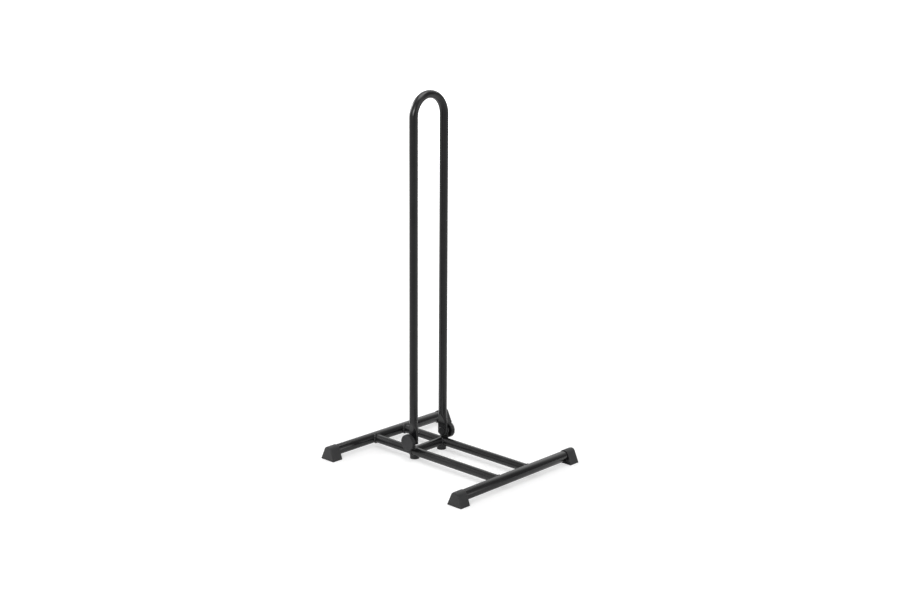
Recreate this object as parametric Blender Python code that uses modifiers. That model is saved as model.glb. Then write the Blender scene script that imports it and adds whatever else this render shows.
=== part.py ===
# Folding bike stand: a low tube base and a tall hoop that holds a wheel between its legs.
# Metres, +Z up, +X to the front, origin on the floor under the middle of the base.
# The hoop hinges on two posts, between a carriage bolt inside and a hand knob outside.
import math

import bmesh
import bpy
from mathutils import Vector

# Clearances
SEAT_GAP = 0.0003          # left between pieces that touch, are welded or are pushed together
BOLT_CLEARANCE = 0.0003    # on the radius, round a bolt shank
FOLD_CLEARANCE = 0.0005    # between the rails and the hoop's flat ends as they swing over them

# Steel tubes
TUBE_D = 0.0172
TUBE_WALL = 0.0015
CROSS_TUBE_D = 0.0214
CROSS_TUBE_WALL = 0.0015

# Base
FRONT_REACH = 0.2355       # hinge line to the front cross tube
REAR_REACH = 0.115         # hinge line to the rear cross tube
TRACK = 0.084              # between the two rails, and the two legs, centre to centre
BASE_WIDTH = 0.3445        # over the feet

# Posts that carry the hinge, their tops pressed outwards to a flat tab
POST_STEP = 0.002          # how much wider a post is than the rails that butt on it
POST_WALL = 0.0013
TAB_WIDTH = 0.020
SHOULDER_HEIGHT = 0.005    # from the round tube to the tab
PLUG_FLANGE = 0.0025
PLUG_STEM = 0.009
PLUG_EDGE = 0.0006

# Feet, pushed on the ends of the cross tubes
FOOT_LENGTH = 0.0245
FOOT_WIDTH = 0.036
FOOT_SOLE = 0.0056         # floor to the underside of the cross tube
FOOT_WALL = 0.0008         # over the tube
FOOT_END_WALL = 0.007
FOOT_CORNER = 0.001        # bottom edges
FOOT_EDGE = 0.0006         # how far the rounding of the outer end draws in the sole
FOOT_ROUND = 0.0055        # length of that rounding
FOOT_CREST = 0.0065        # radius of the top at the outer end
FOOT_CREST_DROP = 0.0004   # how much lower the top is there
FOOT_LIP = 0.0013          # bead round the mouth
FOOT_LIP_LENGTH = 0.002

# Hoop
HOOP_HEIGHT = 0.7384
BEND_FLATTENING = 0.075    # share that the tube loses in depth where it is bent
BEND_WIDENING = 0.04       # share that it gains there in width
FLAT_SLIT = 0.0025         # left inside the pressed ends of the hoop's tube
FLAT_BELOW_PIVOT = 0.0065
FLAT_ABOVE_PIVOT = 0.024   # pivot to the crease where the tube starts to swell
CRIMP_LENGTH = 0.018       # crease to the full round tube
FLAT_CORNER = 0.0055

# Bolt, washers and knob
BOLT_D = 0.008
BOLT_HEAD_D = 0.017
BOLT_HEAD_HEIGHT = 0.002
BOLT_END_GAP = 0.0008      # bolt's end short of the insert's end
WASHER_D = 0.018
FRICTION_WASHER = 0.0008   # thickness
KNOB_WASHER = 0.0012       # thickness
KNOB_D = 0.0335
KNOB_THICKNESS = 0.0088
KNOB_EDGE = 0.0008
KNOB_HUB_D = 0.017
KNOB_HUB_HEIGHT = 0.0024   # behind the fluted part
KNOB_FLUTES = 30
FLUTE_DEPTH = 0.0007
KNOB_WEB = 0.002           # plastic left over the insert
INSERT_WALL = 0.002

# Facets round a section
TUBE_SIDES = 24
SMALL_SIDES = 24
BEND_STEPS = 18
CRIMP_STEPS = 6
POINTS_PER_FLUTE = 3
CUTTER_SIDES = 48
CREST_POINTS = 11          # of a foot's outline
CORNER_POINTS = 4
FLANK_POINTS = 3
SOLE_POINTS = 5
END_ROUND_DEGREES = (25, 50, 70, 90)
TAB_ROUND_DEGREES = (10, 30, 47, 62, 75, 84)
TRIM_CORNER_POINTS = 5
HEAD_DOME_DEGREES = (0, 20, 40, 60, 78)
MERGE = 0.00001

# Worked out from the sizes above
TUBE_R = TUBE_D / 2
POST_R = TUBE_R + POST_STEP / 2
SIDE_Y = TRACK / 2
HINGE_X = (REAR_REACH - FRONT_REACH) / 2
FRONT_X = HINGE_X + FRONT_REACH
REAR_X = HINGE_X - REAR_REACH
AXIS_Z = FOOT_SOLE + CROSS_TUBE_D / 2
RAIL_TOP = AXIS_Z + TUBE_R
FLAT_THICKNESS = 2 * TUBE_WALL + FLAT_SLIT
FLAT_HALF_WIDTH = math.pi * (TUBE_R - FLAT_THICKNESS / 2) / 2 + FLAT_THICKNESS / 2
FLAT_CORNER_REACH = FLAT_CORNER + math.hypot(FLAT_HALF_WIDTH - FLAT_CORNER,
                                             FLAT_BELOW_PIVOT - FLAT_CORNER)
PIVOT_Z = RAIL_TOP + FOLD_CLEARANCE + max(FLAT_HALF_WIDTH, FLAT_CORNER_REACH)
BOLT_HOLE_R = BOLT_D / 2 + BOLT_CLEARANCE

# Hinge stack, as distances out from the middle of a leg
HEAD_FACE = -FLAT_THICKNESS / 2 - SEAT_GAP
FRICTION_FACE = FLAT_THICKNESS / 2 + SEAT_GAP
TAB_INNER = FRICTION_FACE + FRICTION_WASHER + SEAT_GAP
TAB_OUTER = TAB_INNER + 2 * POST_WALL
KNOB_WASHER_FACE = TAB_OUTER + SEAT_GAP
KNOB_BACK = KNOB_WASHER_FACE + KNOB_WASHER + SEAT_GAP
HUB_FRONT = KNOB_BACK + KNOB_HUB_HEIGHT
KNOB_FRONT = HUB_FRONT + KNOB_THICKNESS
INSERT_FRONT = KNOB_FRONT - KNOB_WEB - SEAT_GAP
BOLT_END = INSERT_FRONT - BOLT_END_GAP
INSERT_R = BOLT_HOLE_R + INSERT_WALL
POST_Y = SIDE_Y + TAB_OUTER - POST_R     # a post's outer side runs straight up into its tab
BEND_RISE = HOOP_HEIGHT - TUBE_R * (1 - BEND_FLATTENING) - SIDE_Y - PIVOT_Z    # pivot to the bend

LEFT, RIGHT = -1, 1
SIDES = {"left": LEFT, "right": RIGHT}

BLACK_COAT = ((0.030, 0.030, 0.032), 0.38, 0.0)
DARK_RUBBER = ((0.045, 0.045, 0.047), 0.62, 0.0)
KNOB_PLASTIC = ((0.050, 0.050, 0.052), 0.50, 0.0)
BLACK_STEEL = ((0.060, 0.060, 0.062), 0.35, 0.9)
PLAIN_STEEL = ((0.450, 0.450, 0.460), 0.32, 1.0)
PALE_NYLON = ((0.120, 0.120, 0.120), 0.50, 0.0)


def new_collection(name):
    collection = bpy.data.collections.new(name)
    bpy.context.scene.collection.children.link(collection)
    return collection


def add_material(item, finish):
    colour, roughness, metallic = finish
    material = bpy.data.materials.new(item.name + "_finish")
    material.use_nodes = True
    shader = material.node_tree.nodes["Principled BSDF"]
    shader.inputs["Base Color"].default_value = (*colour, 1.0)
    shader.inputs["Roughness"].default_value = roughness
    shader.inputs["Metallic"].default_value = metallic
    item.data.materials.append(material)
    material.diffuse_color = (*colour, 1.0)


def add_item(name, data, collection, location=(0, 0, 0), turn=(0, 0, 0), parent=None):
    item = bpy.data.objects.new(name, data)
    item.location = location
    item.rotation_euler = turn
    collection.objects.link(item)
    if parent:
        item.parent = parent
        item.location = Vector(location) - parent.location
    return item


def facing(side):
    # Turns a part whose axis is local +Z so that it points out from the left or right leg
    return (-side * math.pi / 2, 0, 0)


def add_turned(name, profile, collection, location, turn=(0, 0, 0), parent=None, sides=SMALL_SIDES,
               ring=False):
    # A profile of (radius, height) points, running down its outer side, spun about Z
    mesh = bpy.data.meshes.new(name)
    points = [(radius, 0, height) for radius, height in profile]
    edges = [(i, i + 1) for i in range(len(points) - 1)]
    if ring:
        edges.append((len(points) - 1, 0))
    mesh.from_pydata(points, edges, [])
    item = add_item(name, mesh, collection, location, turn, parent)
    screw = item.modifiers.new("turn", "SCREW")
    screw.axis = "Z"
    screw.angle = 2 * math.pi
    screw.steps = sides
    screw.render_steps = sides
    screw.use_merge_vertices = True
    screw.merge_threshold = MERGE
    screw.use_smooth_shade = True
    return item


def add_loft(name, rings, collection, location=(0, 0, 0), turn=(0, 0, 0), parent=None):
    # Joins rings of equally many points, one after the other, and closes both ends
    shape = bmesh.new()
    loops = [[shape.verts.new(point) for point in ring] for ring in rings]
    for lower, upper in zip(loops, loops[1:]):
        for i in range(len(lower)):
            j = (i + 1) % len(lower)
            shape.faces.new((lower[i], lower[j], upper[j], upper[i]))
    shape.faces.new(reversed(loops[0]))
    shape.faces.new(loops[-1])
    bmesh.ops.recalc_face_normals(shape, faces=shape.faces)
    mesh = bpy.data.meshes.new(name)
    shape.to_mesh(mesh)
    shape.free()
    return add_item(name, mesh, collection, location, turn, parent)


def smooth(item, angle=math.radians(35)):
    item.data.shade_smooth()
    item.data.set_sharp_from_angle(angle=angle)


def as_cutter(item):
    item.hide_render = True
    item.display_type = "WIRE"
    return item


def add_cutter_rod(name, radius, length, location, turn=(0, 0, 0)):
    shape = bmesh.new()
    bmesh.ops.create_cone(shape, cap_ends=True, segments=CUTTER_SIDES, radius1=radius, radius2=radius,
                          depth=length)
    mesh = bpy.data.meshes.new(name)
    shape.to_mesh(mesh)
    shape.free()
    return as_cutter(add_item(name, mesh, cutters, location, turn))


def add_cutter_box(name, size, location):
    shape = bmesh.new()
    bmesh.ops.create_cube(shape, size=1)
    bmesh.ops.scale(shape, vec=size, verts=shape.verts)
    mesh = bpy.data.meshes.new(name)
    shape.to_mesh(mesh)
    shape.free()
    return as_cutter(add_item(name, mesh, cutters, location))


def combine(item, other, operation="DIFFERENCE"):
    boolean = item.modifiers.new(other.name, "BOOLEAN")
    boolean.operation = operation
    boolean.solver = "EXACT"
    boolean.object = other


def add_tube(name, start, end, diameter, wall):
    # A straight hollow tube between two points
    start, end = Vector(start), Vector(end)
    along = end - start
    outer, inner, length = diameter / 2, diameter / 2 - wall, along.length
    profile = [(outer, length), (outer, 0), (inner, 0), (inner, length)]
    turn = along.to_track_quat("Z", "Y").to_euler()
    tube = add_turned(name, profile, stand, start, turn, sides=TUBE_SIDES, ring=True)
    add_material(tube, BLACK_COAT)
    return tube


def arc(centre, radius, first, last, count):
    # Points on an arc, first and last angle included, as (across, up)
    step = (last - first) / (count - 1)
    angles = [first + step * i for i in range(count)]
    return [(centre[0] + radius * math.cos(a), centre[1] + radius * math.sin(a)) for a in angles]


def between(first, last, count):
    # Points evenly spaced between two, both left out
    shares = [(i + 1) / (count + 1) for i in range(count)]
    return [tuple(a + (b - a) * share for a, b in zip(first, last)) for share in shares]


def foot_outline(radius, top, half_width, floor):
    # Three arcs and their tangents: over the cross tube, and round the two bottom edges
    crest_z = top - radius
    corner_x = half_width - FOOT_CORNER
    corner_z = floor + FOOT_CORNER
    rise = crest_z - corner_z
    reach = math.hypot(corner_x, rise)
    lean = math.acos((radius - FOOT_CORNER) / reach) - math.atan2(rise, corner_x)
    crest = arc((0, crest_z), radius, lean, math.pi - lean, CREST_POINTS)
    right = arc((corner_x, corner_z), FOOT_CORNER, -math.pi / 2, lean, CORNER_POINTS)
    left = arc((-corner_x, corner_z), FOOT_CORNER, math.pi - lean, 1.5 * math.pi, CORNER_POINTS)
    right_flank = between(right[-1], crest[0], FLANK_POINTS)
    left_flank = between(crest[-1], left[0], FLANK_POINTS)
    sole = between(left[-1], right[0], SOLE_POINTS)
    return right + right_flank + crest + left_flank + left + sole


def foot_rings():
    # From the closed end of the socket, out of its mouth and along the outside to the end face
    over_tube = CROSS_TUBE_D / 2 + SEAT_GAP
    radius = over_tube + FOOT_WALL
    half_width = FOOT_WIDTH / 2
    lipped = foot_outline(radius + FOOT_LIP, AXIS_Z + radius + FOOT_LIP, half_width, 0)
    plain = foot_outline(radius, AXIS_Z + radius, half_width, 0)
    angles = [math.atan2(z - AXIS_Z, x) for x, z in plain]
    socket = [(over_tube * math.cos(a), AXIS_Z + over_tube * math.sin(a)) for a in angles]
    stations = [
        (-FOOT_END_WALL, socket),
        (-FOOT_LENGTH, socket),
        (-FOOT_LENGTH, lipped),
        (-FOOT_LENGTH + FOOT_LIP_LENGTH, lipped),
        (-FOOT_LENGTH + FOOT_LIP_LENGTH + FOOT_LIP, plain),
        (-FOOT_ROUND, plain),
    ]
    for degrees in END_ROUND_DEGREES:
        angle = math.radians(degrees)
        share = 1 - math.cos(angle)
        crest = radius + (FOOT_CREST - radius) * share
        top = AXIS_Z + radius - FOOT_CREST_DROP * share
        edge = FOOT_EDGE * share
        stations.append((FOOT_ROUND * (math.sin(angle) - 1),
                         foot_outline(crest, top, half_width - edge, edge / 2)))
    return [[(x, y, z) for x, z in ring] for y, ring in stations]


def add_feet():
    for end, x in (("front", FRONT_X), ("rear", REAR_X)):
        for side_name, side in SIDES.items():
            turn = (0, 0, 0 if side == RIGHT else math.pi)
            place = (x, side * BASE_WIDTH / 2, 0)
            foot = add_loft(f"{end}_{side_name}_foot", foot_rings(), stand, place, turn)
            smooth(foot)
            add_material(foot, DARK_RUBBER)


def add_cross_tubes():
    reach = BASE_WIDTH / 2 - FOOT_END_WALL - SEAT_GAP
    for end, x in (("front", FRONT_X), ("rear", REAR_X)):
        add_tube(f"{end}_cross_tube", (x, -reach, AXIS_Z), (x, reach, AXIS_Z), CROSS_TUBE_D,
                 CROSS_TUBE_WALL)


def add_rails():
    # Each rail's ends are cut to sit round a post and a cross tube
    across = (math.pi / 2, 0, 0)
    cutter_r = CROSS_TUBE_D / 2 + SEAT_GAP
    cope = {end: add_cutter_rod(f"{end}_cross_tube_cut", cutter_r, BASE_WIDTH, (x, 0, AXIS_Z), across)
            for end, x in (("front", FRONT_X), ("rear", REAR_X))}
    crossbar = add_tube("middle_crossbar", (HINGE_X, -SIDE_Y, AXIS_Z), (HINGE_X, SIDE_Y, AXIS_Z),
                        TUBE_D, TUBE_WALL)
    for side_name, side in SIDES.items():
        y = side * SIDE_Y
        post_cut = add_loft(f"{side_name}_post_cut", post_outside(side, -SEAT_GAP), cutters,
                            (HINGE_X, side * POST_Y, 0))
        as_cutter(post_cut)
        for end, x in (("front", FRONT_X), ("rear", REAR_X)):
            start = HINGE_X + math.copysign(SEAT_GAP / 2, x - HINGE_X)
            rail = add_tube(f"{side_name}_{end}_rail", (start, y, AXIS_Z), (x, y, AXIS_Z), TUBE_D,
                            TUBE_WALL)
            combine(rail, post_cut)
            combine(rail, cope[end])
        combine(crossbar, post_cut)
        rail_cut = add_cutter_rod(f"{side_name}_rail_cut", TUBE_R + SEAT_GAP, TRACK, (HINGE_X, y, AXIS_Z),
                                  (0, math.pi / 2, 0))
        combine(crossbar, rail_cut)


def oval(inner, outer, half_width, power, inset=0.0):
    # A section between two faces of the post; power 2 is an ellipse, more is squarer
    middle = (inner + outer) / 2
    half_depth = (outer - inner) / 2 - inset
    points = []
    for i in range(TUBE_SIDES):
        angle = 2 * math.pi * i / TUBE_SIDES
        c, s = math.cos(angle), math.sin(angle)
        across = math.copysign(abs(s) ** (2 / power), s) * (half_width - inset)
        out = math.copysign(abs(c) ** (2 / power), c) * half_depth
        points.append((across, middle + out))
    return points


def post_outside(side, inset=0.0):
    # From the mouth up to the shoulder, where the tube is pressed outwards, and on to the tab's
    # round top, as a post sees it from its own middle
    tab_base = RAIL_TOP + FOLD_CLEARANCE - SEAT_GAP
    shoulder = tab_base - SHOULDER_HEIGHT
    tab_inner = POST_R - 2 * POST_WALL
    half_tab = TAB_WIDTH / 2
    stations = [
        (PLUG_FLANGE + SEAT_GAP + inset, -POST_R, POST_R, 2.0),
        (shoulder, -POST_R, POST_R, 2.0),
        (shoulder + SHOULDER_HEIGHT / 2, (tab_inner - POST_R) / 2, POST_R, 2.6),
        (tab_base, tab_inner, (POST_R + half_tab) / 2, 5.0),
        (tab_base + SHOULDER_HEIGHT / 2, tab_inner, half_tab, 6.0),
    ]
    for degrees in TAB_ROUND_DEGREES:
        angle = math.radians(degrees)
        top = PIVOT_Z + (half_tab - inset) * math.sin(angle)
        stations.append((top, tab_inner, inset + (half_tab - inset) * math.cos(angle), 6.0))
    return [[(x, side * out, z) for x, out in oval(inner, POST_R, half_width, power, inset)]
            for z, inner, half_width, power in stations]


def post_rings(side):
    # Up inside the bore, down to its mouth and then up the outside
    bore_top = RAIL_TOP + FOLD_CLEARANCE - SEAT_GAP - SHOULDER_HEIGHT - POST_WALL
    bore = [[(x, side * out, z) for x, out in oval(-POST_R, POST_R, POST_R, 2.0, POST_WALL)]
            for z in (bore_top, PLUG_FLANGE + SEAT_GAP)]
    return bore + post_outside(side)


def add_posts(hinge_cut):
    for side_name, side in SIDES.items():
        place = (HINGE_X, side * POST_Y, 0)
        post = add_loft(f"{side_name}_post", post_rings(side), stand, place)
        smooth(post)
        combine(post, hinge_cut)
        add_material(post, BLACK_COAT)
        stem_r = POST_R - POST_WALL - SEAT_GAP
        profile = [
            (0, PLUG_FLANGE + PLUG_STEM),
            (stem_r - PLUG_EDGE, PLUG_FLANGE + PLUG_STEM),
            (stem_r, PLUG_FLANGE + PLUG_STEM - PLUG_EDGE),
            (stem_r, PLUG_FLANGE),
            (POST_R, PLUG_FLANGE),
            (POST_R, PLUG_EDGE),
            (POST_R - PLUG_EDGE, 0),
            (0, 0),
        ]
        plug = add_turned(f"{side_name}_post_plug", profile, stand, place)
        add_material(plug, DARK_RUBBER)


def hoop_path():
    # Up the left leg, over the bend and down the right leg, seen from the pivot
    end = -FLAT_BELOW_PIVOT
    crimp = [FLAT_ABOVE_PIVOT + CRIMP_LENGTH * i / CRIMP_STEPS for i in range(CRIMP_STEPS + 1)]
    leg = [end] + crimp
    bend = [math.pi - math.pi * i / BEND_STEPS for i in range(BEND_STEPS + 1)]
    points = [(0, -SIDE_Y, z) for z in leg]
    points += [(0, SIDE_Y * math.cos(a), BEND_RISE + SIDE_Y * math.sin(a)) for a in bend]
    points += [(0, SIDE_Y, z) for z in reversed(leg)]
    return points


def pressed(out, across, half_thickness):
    # Where a point of the round tube goes when it is pressed flat: its outside keeps its length
    # round, so it becomes two straight sides and two half rounds, and the wall keeps its thickness
    inset = TUBE_R - math.hypot(out, across)
    walked = TUBE_R * math.atan2(abs(across), abs(out))
    straight = math.pi * (TUBE_R - half_thickness) / 2
    if walked <= straight:
        new_out, new_across = half_thickness - inset, walked
    else:
        angle = (walked - straight) / half_thickness
        new_out = (half_thickness - inset) * math.cos(angle)
        new_across = straight + (half_thickness - inset) * math.sin(angle)
    return math.copysign(new_out, out), math.copysign(new_across, across)


def press_ends(mesh):
    # Flat up to the crease, then swelling to the round tube
    for vertex in mesh.vertices:
        share = (vertex.co.z - FLAT_ABOVE_PIVOT) / CRIMP_LENGTH
        if share >= 1:
            continue
        swell = math.sin(math.pi / 2 * max(share, 0))
        half_thickness = FLAT_THICKNESS / 2 + (TUBE_R - FLAT_THICKNESS / 2) * swell
        middle = math.copysign(SIDE_Y, vertex.co.y)
        out, across = pressed(vertex.co.y - middle, vertex.co.x, half_thickness)
        vertex.co.y = middle + out
        vertex.co.x = across


def press_bend(mesh):
    # The tube gets less deep and a little wider where it is bent
    for vertex in mesh.vertices:
        rise = vertex.co.z - BEND_RISE
        if rise <= 0:
            continue
        share = math.sin(math.pi / 2 * min(rise / (SIDE_Y / 2), 1)) ** 2
        distance = math.hypot(vertex.co.y, rise)
        depth = (distance - SIDE_Y) * (1 - BEND_FLATTENING * share)
        scale = (SIDE_Y + depth) / distance
        vertex.co.y *= scale
        vertex.co.z = BEND_RISE + rise * scale
        vertex.co.x *= 1 + BEND_WIDENING * share


def add_hoop(pivot):
    path = hoop_path()
    curve = bpy.data.curves.new("hoop_path", "CURVE")
    curve.dimensions = "3D"
    curve.bevel_depth = TUBE_R
    curve.bevel_resolution = TUBE_SIDES // 2 - 2
    spline = curve.splines.new("POLY")
    spline.points.add(len(path) - 1)
    for point, place in zip(spline.points, path):
        point.co = (*place, 1)
    guide = add_item("hoop_path", curve, stand, pivot.location)
    wall = guide.modifiers.new("wall", "SOLIDIFY")
    wall.thickness = TUBE_WALL
    wall.offset = -1
    wall.use_even_offset = True
    bpy.context.view_layer.update()
    evaluated = guide.evaluated_get(bpy.context.evaluated_depsgraph_get())
    mesh = bpy.data.meshes.new_from_object(evaluated)
    bpy.data.objects.remove(guide)
    mesh.name = "hoop"
    press_ends(mesh)
    press_bend(mesh)
    hoop = add_item("hoop", mesh, stand, pivot.location, parent=pivot)
    smooth(hoop)
    neck_hole = 2 * BOLT_HOLE_R
    combine(hoop, add_cutter_box("neck_hole_cut", (neck_hole, 2 * TRACK, neck_hole), pivot.location))
    combine(hoop, add_end_trim(), "INTERSECT")
    add_material(hoop, BLACK_COAT)


def add_end_trim():
    # The hoop's outline seen from the side, which rounds the corners of its flat ends
    half_width = FLAT_HALF_WIDTH + SEAT_GAP
    low, high = PIVOT_Z - FLAT_BELOW_PIVOT - SEAT_GAP / 10, HOOP_HEIGHT + TUBE_D
    corner = half_width - FLAT_CORNER
    outline = arc((corner, low + FLAT_CORNER), FLAT_CORNER, -math.pi / 2, 0, TRIM_CORNER_POINTS)
    outline += [(half_width, high), (-half_width, high)]
    outline += arc((-corner, low + FLAT_CORNER), FLAT_CORNER, math.pi, 1.5 * math.pi,
                   TRIM_CORNER_POINTS)
    rings = [[(HINGE_X + x, y, z) for x, z in outline] for y in (-TRACK, TRACK)]
    return as_cutter(add_loft("flat_end_trim", rings, cutters))


def washer_profile(thickness):
    outer, inner = WASHER_D / 2, BOLT_HOLE_R
    return [(outer, thickness), (outer, 0), (inner, 0), (inner, thickness)]


def bolt_profile():
    # A domed head, then the shank to its chamfered end
    head_r, shank_r, chamfer = BOLT_HEAD_D / 2, BOLT_D / 2, BOLT_D / 10
    shank = [(0, BOLT_END), (shank_r - chamfer, BOLT_END), (shank_r, BOLT_END - chamfer)]
    dome = [(head_r * math.cos(a), HEAD_FACE - BOLT_HEAD_HEIGHT * math.sin(a))
            for a in (math.radians(degrees) for degrees in HEAD_DOME_DEGREES)]
    return shank + [(shank_r, HEAD_FACE)] + dome + [(0, HEAD_FACE - BOLT_HEAD_HEIGHT)]


def add_bolts_and_washers(pivot):
    for side_name, side in SIDES.items():
        place = (HINGE_X, side * SIDE_Y, PIVOT_Z)
        turn = facing(side)
        bolt = add_turned(f"{side_name}_pivot_bolt", bolt_profile(), stand, place, turn, pivot)
        neck_length = FLAT_THICKNESS + 2 * SEAT_GAP
        neck = add_cutter_box(f"{side_name}_bolt_neck", (BOLT_D, neck_length, BOLT_D), place)
        combine(bolt, neck, "UNION")
        add_material(bolt, BLACK_STEEL)
        for kind, face, thickness, finish in (
                ("friction_washer", FRICTION_FACE, FRICTION_WASHER, PALE_NYLON),
                ("knob_washer", KNOB_WASHER_FACE, KNOB_WASHER, PLAIN_STEEL)):
            spot = (HINGE_X, side * (SIDE_Y + face), PIVOT_Z)
            washer = add_turned(f"{side_name}_{kind}", washer_profile(thickness), stand, spot, turn,
                                pivot, ring=True)
            add_material(washer, finish)


def knob_ring(radius, height, depth=0.0):
    count = KNOB_FLUTES * POINTS_PER_FLUTE
    points = []
    for i in range(count):
        angle = 2 * math.pi * i / count
        r = radius - depth * (1 + math.cos(KNOB_FLUTES * angle)) / 2
        points.append((r * math.cos(angle), r * math.sin(angle), height))
    return points


def knob_rings():
    # From the closed end of the insert's hole, out of its mouth and round the outside
    radius, hub_r, hole_r = KNOB_D / 2, KNOB_HUB_D / 2, INSERT_R + SEAT_GAP
    return [
        knob_ring(hole_r, INSERT_FRONT + SEAT_GAP),
        knob_ring(hole_r, KNOB_BACK),
        knob_ring(hub_r, KNOB_BACK),
        knob_ring(hub_r, HUB_FRONT),
        knob_ring(radius - KNOB_EDGE, HUB_FRONT, FLUTE_DEPTH),
        knob_ring(radius, HUB_FRONT + KNOB_EDGE, FLUTE_DEPTH),
        knob_ring(radius, KNOB_FRONT - KNOB_EDGE, FLUTE_DEPTH),
        knob_ring(radius - KNOB_EDGE, KNOB_FRONT, FLUTE_DEPTH),
    ]


def add_knobs(pivot):
    for side_name, side in SIDES.items():
        turn = facing(side)
        place = (HINGE_X, side * SIDE_Y, PIVOT_Z)
        knob = add_loft(f"{side_name}_knob", knob_rings(), stand, place, turn, pivot)
        smooth(knob)
        add_material(knob, KNOB_PLASTIC)
        profile = [(INSERT_R, INSERT_FRONT), (INSERT_R, KNOB_BACK), (BOLT_HOLE_R, KNOB_BACK),
                   (BOLT_HOLE_R, INSERT_FRONT)]
        insert = add_turned(f"{side_name}_knob_insert", profile, stand, place, turn, pivot, ring=True)
        add_material(insert, PLAIN_STEEL)


for leftover in list(bpy.data.objects):
    bpy.data.objects.remove(leftover)
stand = new_collection("folding_bike_stand")
cutters = new_collection("cutters")
hoop_pivot = bpy.data.objects.new("hoop_pivot", None)
hoop_pivot.location = (HINGE_X, 0, PIVOT_Z)
stand.objects.link(hoop_pivot)
bpy.context.view_layer.update()

tab_hole = add_cutter_rod("tab_hole_cut", BOLT_HOLE_R, 2 * TRACK, hoop_pivot.location,
                          (math.pi / 2, math.pi / CUTTER_SIDES, 0))
add_cross_tubes()
add_rails()
add_posts(tab_hole)
add_feet()
add_hoop(hoop_pivot)
add_bolts_and_washers(hoop_pivot)
add_knobs(hoop_pivot)
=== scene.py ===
import math

import bmesh
import bpy
from mathutils import Matrix, Vector


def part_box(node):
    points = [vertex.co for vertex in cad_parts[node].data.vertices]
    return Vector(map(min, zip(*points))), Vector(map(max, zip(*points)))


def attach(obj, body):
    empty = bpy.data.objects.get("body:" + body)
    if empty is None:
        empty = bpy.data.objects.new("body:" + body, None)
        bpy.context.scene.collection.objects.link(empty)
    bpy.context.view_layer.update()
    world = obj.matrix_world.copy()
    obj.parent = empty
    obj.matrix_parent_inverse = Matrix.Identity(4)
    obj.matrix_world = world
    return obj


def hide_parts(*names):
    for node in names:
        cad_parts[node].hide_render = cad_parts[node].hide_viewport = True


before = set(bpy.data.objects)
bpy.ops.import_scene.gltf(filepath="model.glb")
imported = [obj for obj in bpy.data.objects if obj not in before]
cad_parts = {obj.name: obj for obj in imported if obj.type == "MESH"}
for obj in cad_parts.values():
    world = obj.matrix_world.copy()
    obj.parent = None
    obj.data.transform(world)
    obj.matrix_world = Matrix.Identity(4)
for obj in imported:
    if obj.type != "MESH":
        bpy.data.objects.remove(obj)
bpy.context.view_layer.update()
print("frame loaded:", len(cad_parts), "nodes")

sides = {"left": -1, "right": 1}
ends = {"front": 1, "rear": -1}     # which way along X


def middleOf(node):
    low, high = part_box(node)
    return (low + high) / 2


def sizeOf(node):
    low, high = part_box(node)
    return high - low


# What the frame says of the stand's own lines
axisZ = middleOf("front_cross_tube").z
crossX = {end: middleOf(f"{end}_cross_tube").x for end in ends}
crossRadius = sizeOf("front_cross_tube").z / 2
railRadius = sizeOf("left_front_rail").y / 2
railY = middleOf("right_front_rail").y
railTop = axisZ + railRadius
hingeX, _, hingeZ = middleOf("right_friction_washer")
postY = middleOf("right_post_plug").y
postRadius = sizeOf("right_post_plug").x / 2


# Small helpers for meshes

shading = {"sharpAngle": 35, "softenedFrom": 30}     # degrees
mergeGap = 1e-6


def circlePoints(radius, count, start=0.0):
    return [(radius * math.cos(start + 2 * math.pi * i / count),
             radius * math.sin(start + 2 * math.pi * i / count)) for i in range(count)]


def quarterTurn(steps):
    return [math.pi / 2 * i / steps for i in range(steps + 1)]


def roundReach(radius, off):
    # How far a round surface stands out from its own axis, at a distance off it
    return math.sqrt(max(radius ** 2 - off ** 2, 0))


def easing(share):
    return share * share * (3 - 2 * share)


def ringEdges(ring):
    following = ring[1:] + ring[:1]
    return [next(e for e in v.link_edges if e.other_vert(v) is w) for v, w in zip(ring, following)]


def extrudeRing(bm, ring):
    # Extrudes a closed ring of vertices and returns the new ring in the same order
    made = bmesh.ops.extrude_edge_only(bm, edges=ringEdges(ring))["geom"]
    fresh = {v for v in made if isinstance(v, bmesh.types.BMVert)}
    return [next(e.other_vert(v) for e in v.link_edges if e.other_vert(v) in fresh) for v in ring]


def stackSections(sections, closed=False, capStart=True, capEnd=True):
    # One ring of vertices, extruded from each section of the piece to the next
    bm = bmesh.new()
    ring = bmesh.ops.create_circle(bm, segments=len(sections[0]), radius=1)["verts"]
    first = ring
    for vert, point in zip(ring, sections[0]):
        vert.co = point
    for section in sections[1:] + (sections[:1] if closed else []):
        ring = extrudeRing(bm, ring)
        for vert, point in zip(ring, section):
            vert.co = point
    if capStart and not closed:
        bmesh.ops.contextual_create(bm, geom=ringEdges(first))
    if capEnd and not closed:
        bmesh.ops.contextual_create(bm, geom=ringEdges(ring))
    return bm


def spinProfile(profile, steps, ring=False):
    # A profile of (radius, height) points, spun all the way round Z
    bm = bmesh.new()
    verts = [bm.verts.new((radius, 0, height)) for radius, height in profile]
    edges = [bm.edges.new(pair) for pair in zip(verts, verts[1:])]
    if ring:
        edges.append(bm.edges.new((verts[-1], verts[0])))
    bmesh.ops.spin(bm, geom=verts + edges, cent=(0, 0, 0), axis=(0, 0, 1), dvec=(0, 0, 0),
                   angle=2 * math.pi, steps=steps, use_merge=True)
    bmesh.ops.remove_doubles(bm, verts=bm.verts, dist=mergeGap)
    return bm


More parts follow.
